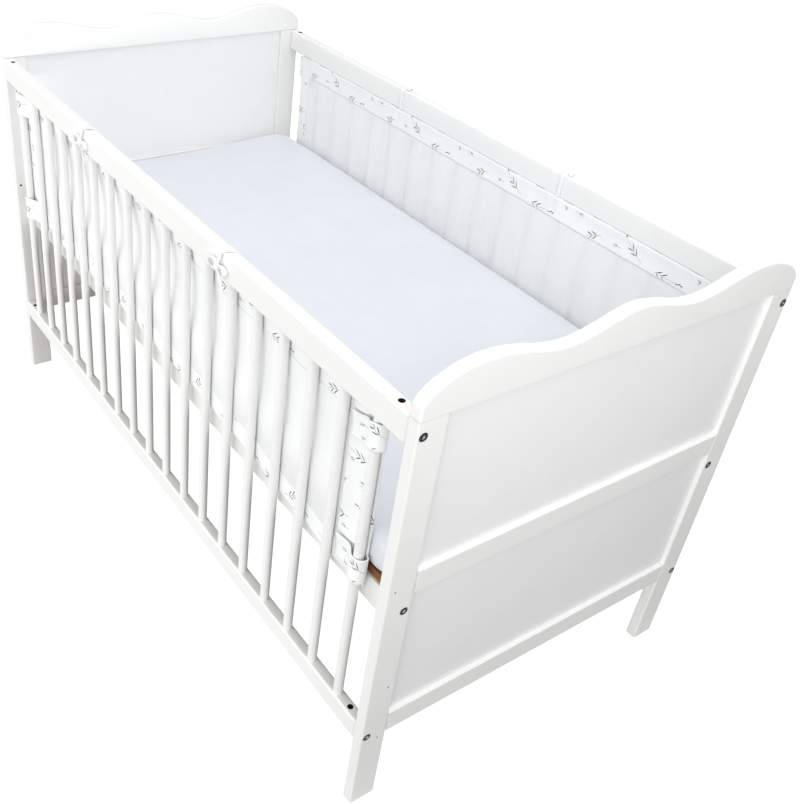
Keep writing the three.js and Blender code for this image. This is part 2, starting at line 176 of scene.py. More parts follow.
# Tab round the end dowel: out from its axis, out from the cloth
TAB_PATH = [
    (12, 1), (14.6, 5), (14.2, 10), (10.5, 15.8), (4, 18.8), (-3, 18.9), (-11, 15.4), (-21, 8.2),
    (-32, 3.6), (-44, 2.25), (-60, 2.25),
]
TABS = [
    {"name": "tab_top_left", "end": -1, "top": PANEL_TOP - 3, "height": 46, "slant": -5, "lift": 1.5},
    {"name": "tab_low_left", "end": -1, "drop": 5, "height": 50, "slant": -3, "lift": 1.0},
    {"name": "tab_top_right", "end": 1, "top": PANEL_TOP - 3, "height": 44, "slant": -24, "lift": 3.0},
    {"name": "tab_low_right", "end": 1, "drop": 21, "height": 47, "slant": -7, "lift": 3.5},
]
# Gap at its root, curl of its edges, its thickness as a share of the borders'
TAB_CLEAR = 0.3
TAB_CURL = 0.5
TAB_CLOTH = 0.8
# Shares of the tab's length and height from which its end lifts, and of its length where it slants
TAB_LIFTS = (0.72, 0.35)
TAB_SLANTS = 0.45
# Where the tabs at the left and right ends are cut from the print
TAB_CUT = {-1: (130, 30), 1: (250, 30)}

# Tie: the tape round the rail, out from its face and up from the knot, then loops and free ends as
# points from the knot
KNOT_Z = 766
KNOT_OUT = 6.4
KNOT_SIZE = (7.4, 4.8, 6.4)
TIE_RING = [
    (1.2, -6), (1.2, 14), (0.6, 24.4), (-2.2, 26.4), (-8, 26.8), (-14, 26.8), (-18.8, 26.2),
    (-21.4, 23.4), (-21.8, 14), (-21.8, -8), (-21.5, -18), (-19, -21), (-12, -21.8), (-5, -21.6),
    (0, -19.4), (1.1, -14), (1.2, -6),
]
# Gap between tape and wood, and the one that the ring is drawn with
TAPE_CLEAR = 0.3
TIE_RING_GAP = 0.75
# How wide the tape lies along the ring, a loop and a free end, as a share of its width
TAPE_SPREAD = {
    "ring": lambda u: 1.0,
    "loop": lambda u: 0.55 + 0.42 * math.sin(math.pi * u),
    "end": lambda u: 0.6 + 0.4 * u,
}
BOW_LOOPS = [
    [(0, 5, 0), (9, 5.6, 4.5), (19, 6.4, 4), (25.5, 7, -2), (21, 7.2, -9.5), (10, 6.4, -7), (0, 6, -1)],
    [(0, 5, 1), (-8, 5.6, 7), (-17, 6.4, 7.5), (-22, 7, 1), (-18, 7.2, -6), (-8, 6.4, -4), (0, 6, 0)],
]
BOW_ENDS = [
    [(3, 7, -2), (9, 7.4, -14), (14, 6.8, -26), (17, 6, -38)],
    [
        (1, 7, 3), (1.5, 4.2, 12), (2.5, 2.4, 20), (5, 0.2, 25.9), (8.5, -6, 28.4), (12, -12, 28.2),
        (14.5, -17.5, 27.9),
    ],
]

# Print: repeat along a row and height of a row, then each motif's stretch of the row, root, angle in
# degrees and lengths; what is the same for all twigs or all sprays is in metres
PRINT_REPEAT = (310, 42)
PRINT_ROW_SHIFT = 131
PRINT_TWIGS = {
    "starts": (0, 100, 180), "x": (63, 157, 204), "y": (13.8, 16.5, 7.2), "Angle": (199, 148, -4),
    "Tail": (10, 16, 3), "Stem": (25, 37, 43), "Buds": (0, 10, 15), "Bend": (4, -3, 2),
}
ALL_TWIGS = {"Span": 0.0110, "Pitch": 0.0105, "Leaf": 0.0155}
PRINT_SPRAYS = {
    "starts": (0, 64, 200), "x": (14, 112, 293), "y": (36.5, 15.5, 34), "Angle": (-9, 180, 200),
    "Tail": (9, 9, 0.5), "Span": (5, 5, 0.5), "Leaf": (5.6, 5.6, 8.5),
}
ALL_SPRAYS = {"Pitch": 0.0042, "Stem": 0.006, "Buds": 0.0, "Bend": 6.0}
PRINT_UNITS = {"Angle": math.radians(1), "Bend": 1.0}
LEAF_TURN = math.radians(33)
BUD_PITCH = 0.0050
BUD_HALF = (0.0023, 0.0013)
BUD_SWAY = 0.0016

# Spacer mesh in metres: rows and columns of holes, slanting rows of the knit
MESH_ROW = 0.0021
MESH_COLUMN = 0.0026
MESH_SLANT = 0.0042

# Lights: place, size, power
LIGHTS = {
    "key_light": ((-0.9, -1.85, 0.56), (2.2, 0.8), 6.0),
    "room_light": ((3.4, -7.6, 0.5), (5.0, 1.0), 226),
    "end_light": ((1.7, -0.3, 1.45), (0.8, 0.8), 8.5),
    "top_light": ((0.3, -0.4, 2.6), (2.2, 1.6), 14.5),
}
LIGHTS_AIM = Vector((0, 0, 0.5))
SKY = ((0.97, 0.99, 1.0, 1), 0.82)


def length(name, description, default):
    return FloatProperty(name=name, description=description, default=default, unit="LENGTH")


def colour(name, description, *default):
    return FloatVectorProperty(
        name=name, description=description, default=(*default, 1), size=4, subtype="COLOR"
    )


class CotSizes(bpy.types.PropertyGroup):
    """Sizes of the painted cot bed"""

    edge_round: length("Edge rounding", "Radius on the long edges of rails and posts", 0.004)
    dowel_count: IntProperty(
        name="Dowels", description="Dowels in each slatted side", default=18, min=2
    )
    dowel_diameter: length("Dowel diameter", "Diameter of the round bars", 0.016)
    dowel_span: length("Dowel span", "Distance between the first and last dowel", 1.281)
    nut_hole: length("Nut hole", "Diameter of the barrel nut holes in the rails", 0.010)
    mattress_edge: length("Mattress edge", "Radius on the mattress edges", 0.022)
    mattress_corner: length("Mattress corner", "Radius on the mattress corners", 0.040)


class BumperSizes(bpy.types.PropertyGroup):
    """Sizes of the bumper's cloth"""

    mesh_cloth: length("Mesh thickness", "Thickness of the spacer mesh", 0.002)
    cotton: length("Edge thickness", "Thickness of the folded cotton edges", 0.0018)
    seam_ridge: length("Seam ridge", "Extra thickness where cotton is turned in", 0.0010)
    tape_width: length("Tape width", "Width of the tie tape", 0.010)
    tape: length("Tape thickness", "Thickness of the tie tape", 0.0009)
    crease: length("Crease depth", "Depth of the small uneven creases", 0.0016)


class Finishes(bpy.types.PropertyGroup):
    """Colours of the finishes"""

    paint: colour("Paint", "Satin paint on the wood", 0.885, 0.881, 0.863)
    panel_paint: colour("Panel paint", "Paint on the end panels", 0.885, 0.882, 0.884)
    cotton: colour("Cotton", "Ground of the printed cotton", 0.925, 0.932, 0.932)
    leaf: colour("Leaf", "Grey green of the printed leaves", 0.030, 0.046, 0.041)
    bud: colour("Bud", "Mauve of the printed buds", 0.09, 0.042, 0.06)
    mesh: colour("Mesh", "Yarn of the spacer mesh", 0.955, 0.96, 0.963)
    mattress: colour("Mattress", "Mattress cover", 0.755, 0.778, 0.822)
    raw_board: colour("Raw board", "Bare board under the mattress", 0.30, 0.125, 0.05)


# ---------------------------------------------------------------- tables and curves


def ease(value, low, high):
    share = min(max((value - low) / (high - low), 0), 1)
    return share * share * (3 - 2 * share)


def from_table(table, x):
    if x <= table[0][0]:
        return table[0][1]
    for (x0, v0), (x1, v1) in zip(table, table[1:]):
        if x < x1:
            return v0 + (v1 - v0) * ease(x, x0, x1)
    return table[-1][1]


def along_curve(points, share):
    """Point at a share of a smooth curve through the points"""
    place = share * (len(points) - 1)
    index = min(int(place), len(points) - 2)
    t = place - index
    p1, p2 = Vector(points[index]), Vector(points[index + 1])
    p0 = Vector(points[index - 1]) if index > 0 else p1 * 2 - p2
    p3 = Vector(points[index + 2]) if index + 2 < len(points) else p2 * 2 - p1
    slope1, slope2 = (p2 - p0) / 2, (p3 - p1) / 2
    a = p1 * 2 - p2 * 2 + slope1 + slope2
    b = p2 * 3 - p1 * 3 - slope1 * 2 - slope2
    return a * t**3 + b * t**2 + slope1 * t + p1


def path_length(path):
    return sum((Vector(b) - Vector(a)).length for a, b in zip(path, path[1:]))


def unevenness(x, z, turn):
    """Soft irregular waves between -1 and 1"""
    wave = math.sin(x / 23 + 1.3 * turn + 0.9 * math.sin(z / 61))
    wave += 0.6 * math.sin(x / 41 - z / 83 + 2.1 * turn)
    wave += 0.4 * math.sin(x / 13.7 + z / 47 + turn)
    return wave / 2


# ---------------------------------------------------------------- node helpers


def becomes(operation):
    """A sign between two signals becomes a maths node"""
    return lambda self, *others: self.nodes.maths(operation, self, *others)


class Signal:
    """A value in a shader that can be added, multiplied and compared"""

    __add__, __sub__, __mul__ = becomes("ADD"), becomes("SUBTRACT"), becomes("MULTIPLY")
    __truediv__, __mod__ = becomes("DIVIDE"), becomes("FLOORED_MODULO")
    __gt__, __lt__ = becomes("GREATER_THAN"), becomes("LESS_THAN")
    __abs__, __floor__ = becomes("ABSOLUTE"), becomes("FLOOR")

    def __init__(self, nodes, socket):
        self.nodes, self.socket = nodes, socket

    def __rsub__(self, other):
        return self.nodes.maths("SUBTRACT", other, self)


class Nodes:
    """Adds shader nodes to a tree and wires them by value or signal"""

    def __init__(self, tree):
        self.tree = tree

    def feed(self, socket, value):
        if isinstance(value, Signal):
            self.tree.links.new(value.socket, socket)
        else:
            socket.default_value = value

    def new(self, kind, **settings):
        node = self.tree.nodes.new("ShaderNode" + kind)
        for name, value in settings.items():
            setattr(node, name, value)
        return node

    def signal(self, node, values=(), output=0, **inputs):
        """Feeds a node in the order of its sockets or by their names, and gives one of its outputs"""
        for socket, value in zip(node.inputs, values):
            self.feed(socket, value)
        for name, value in inputs.items():
            self.feed(node.inputs[name], value)
        return Signal(self, node.outputs[output])

    def maths(self, operation, *values):
        return self.signal(self.new("Math", operation=operation), values)

    def mix(self, factor, first, second):
        node = self.new("Mix", data_type="RGBA")
        for index, value in ((0, factor), (6, first), (7, second)):
            self.feed(node.inputs[index], value)
        return Signal(self, node.outputs[2])

    def ramp(self, value, low, high, to_low=0.0, to_high=1.0):
        node = self.new("MapRange", interpolation_type="SMOOTHSTEP")
        return self.signal(node, (value, low, high, to_low, to_high))

    def noise(self, vector, scale, detail=2.0, roughness=0.5):
        return self.signal(
            self.new("TexNoise"), output="Fac", Vector=vector, Scale=scale, Detail=detail,
            Roughness=roughness,
        )

    def stretch(self, vector, scale):
        return self.signal(self.new("Mapping"), Vector=vector, Scale=scale)

    def bump(self, height, strength, distance):
        return self.signal(self.new("Bump"), Height=height, Strength=strength, Distance=distance)

    def object_place(self):
        return self.signal(self.new("TexCoord"), output="Object")

    def cut_place(self, name):
        return self.signal(self.new("UVMap", uv_map=name))

    def spot(self, x, y):
        return self.signal(self.new("CombineXYZ"), (x, y))

    def split(self, vector):
        node = self.new("SeparateXYZ")
        self.feed(node.inputs[0], vector)
        return [Signal(self, output) for output in node.outputs]

    def group(self, tree, **inputs):
        node = self.new("Group", node_tree=tree)
        self.signal(node, **inputs)
        return {output.name: Signal(self, output) for output in node.outputs}

    def mottled(self, place, scale, base, low, high):
        """A colour with soft darker and lighter patches"""
        shade = self.group(mottling(), Vector=place, Scale=scale)["Shade"]
        return self.mix(self.ramp(shade, 0.3, 0.7), tint(base, low), tint(base, high))

    def surface(self, **inputs):
        """Sets or wires the inputs of the material's own shader"""
        shader = self.tree.nodes["Principled BSDF"]
        for name, value in inputs.items():
            self.feed(shader.inputs[name.replace("_", " ")], value)


def tint(base, share):
    return tuple(min(part * share, 1) for part in base[:3]) + (1,)


def node_group(name, inputs, outputs):
    """A shader node group, drawn the first time that it is asked for"""

    def keep(draw):
        def give():
            tree = bpy.data.node_groups.get(name)
            if tree:
                return tree
            tree = bpy.data.node_groups.new(name, "ShaderNodeTree")
            for socket in inputs:
                kind = "NodeSocketVector" if socket in ("Vector", "Place") else "NodeSocketFloat"
                tree.interface.new_socket(name=socket, in_out="INPUT", socket_type=kind)
            for socket in outputs:
                tree.interface.new_socket(name=socket, in_out="OUTPUT", socket_type="NodeSocketFloat")
            n = Nodes(tree)
            entry = tree.nodes.new("NodeGroupInput")
            leave = tree.nodes.new("NodeGroupOutput")
            drawn = draw(n, *(Signal(n, entry.outputs[socket]) for socket in inputs))
            for socket, value in zip(leave.inputs, drawn):
                n.feed(socket, value)
            return tree

        return give

    return keep


@node_group("Soft mottling", ("Vector", "Scale"), ("Shade",))
def mottling(n, vector, scale):
    """Soft uneven shade at two scales"""
    wide = n.noise(vector, scale, 3.0, 0.55)
    fine = n.noise(vector, scale * 7.0, 2.0, 0.5)
    return [wide * 0.7 + fine * 0.3]


@node_group("Plain weave", ("Vector", "Threads"), ("Height",))
def plain_weave(n, vector, threads):
    """Crossing threads of a plain woven cloth"""
    u, v, _ = n.split(vector)
    count = threads * (2 * math.pi)
    warp, weft = n.maths("SINE", u * count), n.maths("SINE", v * count)
    slub = n.noise(n.stretch(vector, (60, 900, 1)), 1.0, 2.0)
    return [warp * weft * 0.4 + 0.5 + slub * 0.3]


@node_group("Stitch row", ("Along", "Edge", "Inset", "Pitch"), ("Mask", "Pull_and_shade"))
def stitch_row(n, along, edge, inset, pitch):
    """Row of stitches along a seam: distance along it, distance from the edge"""
    off = abs(edge - inset)
    line = n.ramp(off, 0.00055, 0.00025)
    step = n.maths("FRACT", along / pitch)
    dash = n.ramp(abs(step - 0.5), 0.42, 0.34)
    # Second output: the dimple that the stitches pull, used for the relief and as painted shade along
    # the seam
    return line * dash, n.ramp(off, 0.0030, 0.0)


@node_group("Leaf pairs", ("Along", "Across", "Span", "Pitch", "Leaf", "Width"), ("Mask",))
def leaf_pairs(n, along, across, span, pitch, leaf, width):
    """Pairs of narrow leaves that leave a stem at even steps"""
    cosine, sine = math.cos(LEAF_TURN), math.sin(LEAF_TURN)
    side = abs(across)
    nearest = math.floor(along / pitch) * pitch
    mask = 0.0
    for back in (0.0, 1.0):
        root = nearest - pitch * back
        step = along - root
        share = (step * cosine + side * sine) / leaf
        half = share * (1.0 - share) * 4.0 * (width * 0.5)
        inside = n.ramp(half - abs(side * cosine - step * sine), -0.00008, 0.00022)
        on_stem = (root > -0.00001) * (root < span)
        mask = n.maths("MAXIMUM", mask, inside * on_stem)
    return [mask]


@node_group(
    "Sprig",
    ("Vector", "Place", "Angle", "Tail", "Span", "Pitch", "Leaf", "Stem", "Buds", "Bend"),
    ("Leaves", "Stems", "Buds"),
)
def sprig(n, vector, place, angle, tail, span, pitch, leaf, stem, buds, bend):
    """One twig: a bent stem with a tail, pairs of leaves and a row of buds"""
    off = n.signal(n.new("VectorMath", operation="SUBTRACT"), (vector, place))
    x, y, _ = n.split(off)
    cosine, sine = n.maths("COSINE", angle), n.maths("SINE", angle)
    along = x * cosine + y * sine
    across = y * cosine - x * sine - bend * (along * along)
    leaves = n.group(
        leaf_pairs(), Along=along, Across=across, Span=span, Pitch=pitch, Leaf=leaf,
        Width=leaf * 0.095 + 0.0006,
    )["Mask"]
    line = n.ramp(abs(across), 0.00050, 0.00024)
    stems = line * ((along > tail * -1.0) * (along < stem))
    beyond = along - stem
    count = beyond / BUD_PITCH
    turned = math.floor(count) % 2.0 - 0.5
    bud_x = (n.maths("FRACT", count) - 0.5) * (BUD_PITCH / BUD_HALF[0])
    bud_y = (across - turned * BUD_SWAY) / BUD_HALF[1]
    row = (beyond > 0.0) * (beyond < buds)
    return leaves, stems, n.ramp(bud_x * bud_x + bud_y * bud_y, 1.1, 0.8) * row


def print_row(n, vector):
    """Distance along a repeat of the print and height in its row; every other row runs the other way"""
    u, v, _ = n.split(vector)
    repeat, high = (size * MM for size in PRINT_REPEAT)
    row = math.floor(v / high)
    way = 1.0 - row % 2.0 * 2.0
    shifted = u * way + row * (PRINT_ROW_SHIFT * MM)
    return shifted % repeat, v - row * high


def charted(n, along, chart):
    """Values of the chart for the stretch of the row that a point lies in"""
    past = [along > start * MM for start in chart["starts"][1:]]
    values = {}
    for name, entries in chart.items():
        if name == "starts":
            continue
        unit = PRINT_UNITS.get(name, MM)
        values[name] = entries[0] * unit
        for step, before, after in zip(past, entries, entries[1:]):
            values[name] = step * ((after - before) * unit) + values[name]
    return values


@node_group("Sprig print", ("Vector",), ("Leaves", "Stems", "Buds"))
def sprig_print(n, vector):
    """Rows of twigs with buds, and small sprays of leaves between them"""
    along, high = print_row(n, vector)
    place = n.spot(along, high)
    motifs = []
    for chart, same in ((PRINT_TWIGS, ALL_TWIGS), (PRINT_SPRAYS, ALL_SPRAYS)):
        values = charted(n, along, chart)
        root = n.spot(values.pop("x"), values.pop("y"))
        motifs.append(n.group(sprig(), Vector=place, Place=root, **values, **same))
    twig, spray = motifs
    return [n.maths("MAXIMUM", twig[name], spray[name]) for name in ("Leaves", "Stems", "Buds")]


# ---------------------------------------------------------------- finishes


def finish(name):
    """A material, drawn the first time that it is asked for"""

    def keep(draw):
        def give():
            material = bpy.data.materials.get(name)
            if not material:
                material = bpy.data.materials.new(name)
                material.use_nodes = True
                draw(Nodes(material.node_tree))
            return material

        return give

    return keep


def colours():
    return bpy.context.scene.bumper_finishes


def brushed_paint(n, base):
    """Satin paint with faint brush strokes"""
    place = n.object_place()
    strokes = n.noise(n.stretch(place, (40, 220, 220)), 1.0, 3.0)
    orange_peel = n.noise(place, 420.0, 2.0)
    n.surface(
        Specular_IOR_Level=0.4,
        Coat_Roughness=0.3,
        Base_Color=n.mottled(place, 5.0, base, 0.985, 1.01),
        Roughness=n.ramp(strokes, 0.2, 0.8, 0.36, 0.5),
        Normal=n.bump(strokes * 0.6 + orange_peel * 0.4, 0.12, 0.0006),
    )


@finish("White paint")
def paint(n):
    """Warm white paint over planed wood"""
    brushed_paint(n, colours().paint)


@finish("Panel paint")
def panel_paint(n):
    """Cooler white paint of the thin end panels"""
    brushed_paint(n, colours().panel_paint)


@finish("Bored wood and painted shade")
def bored_wood_and_shade(n):
    """Bare wood inside the nut holes, its dark tone partly painted shade deep in the hole"""
    grain = n.noise(n.stretch(n.object_place(), (900, 900, 120)), 1.0, 3.0)
    n.surface(
        Specular_IOR_Level=0.2,
        Base_Color=n.mix(grain, (0.05, 0.014, 0.010, 1), (0.16, 0.05, 0.03, 1)),
        Roughness=n.ramp(grain, 0.2, 0.8, 0.6, 0.85),
    )


@finish("Raw board")
def raw_board(n):
    """Bare brown board of the mattress base"""
    base = colours().raw_board
    fibre = n.noise(n.stretch(n.object_place(), (35, 420, 420)), 1.0, 4.0, 0.6)
    n.surface(
        Specular_IOR_Level=0.25,
        Base_Color=n.mix(n.ramp(fibre, 0.25, 0.75), tint(base, 0.6), tint(base, 1.25)),
        Roughness=n.ramp(fibre, 0.2, 0.8, 0.55, 0.75),
        Normal=n.bump(fibre, 0.3, 0.0008),
    )


@finish("Zinc steel")
def steel(n):
    """Zinc plated steel"""
    place = n.object_place()
    spangle = n.group(mottling(), Vector=place, Scale=300.0)["Shade"]
    n.surface(
        Metallic=1.0,
        Base_Color=n.mix(spangle, (0.42, 0.42, 0.43, 1), (0.70, 0.70, 0.70, 1)),
        Roughness=n.ramp(spangle, 0.25, 0.75, 0.28, 0.48),
        Normal=n.bump(n.noise(place, 2500.0), 0.1, 0.0002),
    )


@finish("Dark steel and painted shade")
def dark_steel_and_shade(n):
    """Dark ring of the bolt heads: darker steel, and painted shade of the gap round the recessed head
    """
    spangle = n.group(mottling(), Vector=n.object_place(), Scale=400.0)["Shade"]
    n.surface(
        Metallic=0.6,
        Base_Color=n.mix(spangle, (0.03, 0.03, 0.032, 1), (0.11, 0.11, 0.115, 1)),
        Roughness=n.ramp(spangle, 0.25, 0.75, 0.4, 0.6),
    )


@finish("Mattress jersey")
def mattress_cover(n):
    """Fine jersey of the fitted mattress cover"""
    place = n.object_place()
    x, y, z = n.split(place)
    wales = n.maths("SINE", x * (2 * math.pi * 900))
    courses = n.maths("SINE", (y + z) * (2 * math.pi * 1100))
    knit = wales * courses
    soft = n.noise(n.stretch(place, (9, 16, 16)), 1.0, 3.0)
    n.surface(
        Specular_IOR_Level=0.15,
        Sheen_Weight=0.15,
        Base_Color=n.mottled(place, 3.0, colours().mattress, 0.965, 1.02),
        Roughness=n.ramp(knit, -1.0, 1.0, 0.85, 0.95),
        Normal=n.bump(knit * 0.06 + soft, 0.16, 0.003),
    )


@finish("Spacer mesh")
def spacer_mesh(n):
    """Knitted spacer mesh with rows of small holes"""
    place = n.cut_place("cut")
    u, v, _ = n.split(place)
    row = v / MESH_ROW
    column = u / MESH_COLUMN + math.floor(row) % 2.0 * 0.5
    off_u, off_v = n.maths("FRACT", column) - 0.5, n.maths("FRACT", row) - 0.5
    hole = n.ramp(n.maths("SQRT", off_u * off_u + off_v * off_v), 0.40, 0.24)
    # Painted shade: thin darker lines along the slanting knit rows stand for the shade in the grooves
    # between them
    slant = n.maths("SINE", (v + u * 0.06) * (2 * math.pi / MESH_SLANT))
    streaks = n.stretch(place, (1, 0.12, 1))
    yarn = n.mottled(streaks, 13.0, colours().mesh, 0.95, 1.01)
    rows = n.mix(n.ramp(slant, -1.0, 1.0, 0.0, 0.09), yarn, (0.55, 0.57, 0.58, 1))
    n.surface(
        Specular_IOR_Level=0.2,
        Sheen_Weight=0.1,
        Subsurface_Weight=0.9,
        Subsurface_Scale=0.005,
        Subsurface_Radius=(1.0, 1.0, 1.0),
        # Painted shade: the holes are greyed, standing for the shade seen through them
        Base_Color=n.mix(hole * 0.12, rows, (0.62, 0.64, 0.655, 1)),
        Roughness=n.ramp(hole, 0.0, 1.0, 0.75, 0.95),
        Alpha=1.0 - hole * 0.08,
        Normal=n.bump(1.0 - hole, 0.12, 0.0006),
    )


@finish("Printed cotton")
def printed_cotton(n):
    """White cotton with a scattered twig print and stitched, turned-in edges"""
    finishes = colours()
    place = n.cut_place("cut")
    along, from_edge, _ = n.split(n.cut_place("seam"))
    cloth = n.mottled(place, 18.0, finishes.cotton, 0.98, 1.015)
    drawn = n.group(sprig_print(), Vector=place)
    worn = n.ramp(n.noise(place, 1300.0, 2.0), 0.2, 0.5, 0.8, 1.0)
    tone = n.ramp(n.noise(place, 55.0, 1.0), 0.35, 0.65)
    leaf = n.mix(tone, finishes.leaf, tint(finishes.leaf, 1.6))
    cloth = n.mix(drawn["Stems"] * 0.66, cloth, tint(finishes.leaf, 2.2))
    cloth = n.mix(drawn["Leaves"] * worn, cloth, leaf)
    cloth = n.mix(drawn["Buds"] * worn, cloth, finishes.bud)
    # Painted highlight: cloth within 2.6 mm of the seam is lightened, standing for light caught on the
    # folded edge
    cloth = n.mix(n.ramp(from_edge, 0.0026, 0.0020) * 0.85, cloth, (0.955, 0.955, 0.955, 1))
    stitch = n.group(stitch_row(), Along=along, Edge=from_edge, Inset=0.0034, Pitch=0.0031)
    # Painted shade: cloth darkened a little where the stitches pull it in
    cloth = n.mix(stitch["Pull_and_shade"] * 0.03, cloth, (0.60, 0.61, 0.62, 1))
    weave = n.group(plain_weave(), Vector=place, Threads=1500.0)["Height"]
    n.surface(
        Specular_IOR_Level=0.15,
        Sheen_Weight=0.12,
        Base_Color=n.mix(stitch["Mask"], cloth, (0.93, 0.93, 0.93, 1)),
        Roughness=n.ramp(weave, 0.2, 0.9, 0.82, 0.95),
        Normal=n.bump(weave * 0.18 + stitch["Mask"] - stitch["Pull_and_shade"] * 0.5, 0.35, 0.0006),
    )


@finish("White tape")
def white_tape(n):
    """Narrow ribbed cotton tape of the ties"""
    place = n.cut_place("cut")
    u, v, _ = n.split(place)
    ribs = n.maths("SINE", u * (2 * math.pi / 0.0009))
    edge = n.ramp(abs(v), 0.0038, 0.0046)
    n.surface(
        Specular_IOR_Level=0.2,
        Sheen_Weight=0.1,
        Base_Color=n.mottled(place, 60.0, colours().cotton, 0.95, 1.02),
        Roughness=n.ramp(ribs, -1.0, 1.0, 0.75, 0.92),
        Normal=n.bump(ribs * 0.3 + edge, 0.3, 0.0004),
    )


@finish("Studio floor")
def studio_floor(n):
    """Plain pale floor, bright to the eye and dimmer as a reflector"""
    place = n.object_place()
    shade = n.group(mottling(), Vector=place, Scale=0.8)["Shade"]
    n.surface(
        Specular_IOR_Level=0.1,
        Base_Color=n.mix(shade, (0.29, 0.29, 0.29, 1), (0.31, 0.31, 0.31, 1)),
        Roughness=n.ramp(shade, 0.3, 0.7, 0.85, 0.95),
        Emission_Color=(1, 1, 1, 1),
        Emission_Strength=0.95,
    )
    x, _, _ = n.split(place)
    reach = n.ramp(x, 0.5, 0.95)
    bounce = n.signal(
        n.new("BsdfDiffuse"), Color=n.mix(reach, (0.55, 0.545, 0.54, 1), (0.08, 0.075, 0.07, 1))
    )
    seen = n.signal(n.new("LightPath"), output="Is Camera Ray")
    bright = Signal(n, n.tree.nodes["Principled BSDF"].outputs[0])
    choice = n.signal(n.new("MixShader"), (seen, bounce, bright))
    n.feed(n.tree.nodes["Material Output"].inputs["Surface"], choice)


# ---------------------------------------------------------------- making helpers


def clear_selection():
    if bpy.context.object and bpy.context.object.mode != "OBJECT":
        bpy.ops.object.mode_set(mode="OBJECT")
    bpy.ops.object.select_all(action="DESELECT")


def work_on(piece):
    clear_selection()
    bpy.context.view_layer.objects.active = piece
    piece.select_set(True)


@contextmanager
def editing(select="SELECT", kind=None):
    """Edit mode on the active piece, with all of it selected, none of it or what was picked"""
    bpy.ops.object.mode_set(mode="EDIT")
    if kind:
        bpy.ops.mesh.select_mode(type=kind)
    if select:
        bpy.ops.mesh.select_all(action=select)
    yield
    bpy.ops.object.mode_set(mode="OBJECT")


def pick(piece, kind, wanted):
    """Selects the faces or edges of the active piece that are wanted"""
    with editing("DESELECT", kind):
        pass
    for part in piece.data.polygons if kind == "FACE" else piece.data.edges:
        part.select = wanted(part)


def bevel(offset, steps):
    bpy.ops.mesh.bevel(
        offset=offset, offset_type="OFFSET", segments=steps, profile=0.5, affect="EDGES"
    )


def new_piece(name):
    piece = bpy.context.object
    piece.name = piece.data.name = name
    return piece


def apply_place():
    bpy.ops.object.transform_apply(location=True, rotation=True, scale=True)


def face_out(piece):
    """Merges doubles and turns every face outwards"""
    work_on(piece)
    with editing():
        bpy.ops.mesh.remove_doubles(threshold=0.00001)
        bpy.ops.mesh.normals_make_consistent(inside=False)


def apply_modifier(piece, kind, **settings):
    work_on(piece)
    modifier = piece.modifiers.new("make", kind)
    for name, value in settings.items():
        setattr(modifier, name, value)
    bpy.ops.object.modifier_apply(modifier="make")


def board(name, low, high, rounding, steps=3):
    """A planed board between two corners in millimetres, its edges rounded over"""
    clear_selection()
    middle = [(a + b) / 2 * MM for a, b in zip(low, high)]
    size = [abs(b - a) * MM for a, b in zip(low, high)]
    bpy.ops.mesh.primitive_cube_add(size=1, location=middle, scale=size)
    piece = new_piece(name)
    apply_place()
    with editing():
        bevel(rounding * MM, steps)
    piece.data.materials.append(paint())
    return piece


def round_bar(sides, radius, depth, place, turn):
    """A round bar of a radius and depth in millimetres, with its middle at a place"""
    clear_selection()
    bpy.ops.mesh.primitive_cylinder_add(
        vertices=sides, radius=radius * MM, depth=depth * MM, location=[part * MM for part in place],
        rotation=turn,
    )
    apply_place()
    return bpy.context.object


def bore(piece, place, radius, depth, turn, lining, sides=32):
    """Bores a hole whose middle is at a place"""
    cutter = round_bar(sides, radius, depth, place, turn)
    cutter.data.materials.append(lining)
    apply_modifier(
        piece, "BOOLEAN", operation="DIFFERENCE", object=cutter, solver="EXACT",
        material_mode="TRANSFER",
    )
    bpy.data.objects.remove(cutter)


def saw(piece, z, above):
    """Saws a piece square at a height in millimetres and drops what is above or below"""
    work_on(piece)
    with editing():
        bpy.ops.mesh.bisect(
            plane_co=(0, 0, z * MM), plane_no=(0, 0, 1), use_fill=True, clear_inner=not above,
            clear_outer=above,
        )


def join(pieces, name):
    clear_selection()
    for piece in pieces:
        piece.select_set(True)
    bpy.context.view_layer.objects.active = pieces[0]
    bpy.ops.object.join()
    return new_piece(name)


def copy_of(piece, name, move=(0, 0, 0), flip=(1, 1, 1)):
    """A copy with its own mesh, moved in millimetres or mirrored about the middle of the cot"""
    work_on(piece)
    bpy.ops.object.duplicate(linked=False)
    twin = new_piece(name)
    with editing():
        if any(move):
            bpy.ops.transform.translate(value=[part * MM for part in move])
        if flip != (1, 1, 1):
            bpy.ops.transform.resize(value=flip, center_override=(0, 0, 0))
            if flip[0] * flip[1] * flip[2] < 0:
                bpy.ops.mesh.flip_normals()
    return twin


def smooth(piece, degrees=40):
    work_on(piece)
    bpy.ops.object.shade_smooth_by_angle(angle=math.radians(degrees))


def finish_with(piece, material):
    piece.data.materials.clear()
    piece.data.materials.append(material)


def hand_over(piece, slot, *nodes):
    """A finished piece rides with the cot and stands for its CAD nodes; boards keep flat faces flat"""
    if slot == "white_paint":
        apply_modifier(piece, "WEIGHTED_NORMAL", keep_sharp=True, weight=100)
    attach(piece, "root")
    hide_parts(*nodes)


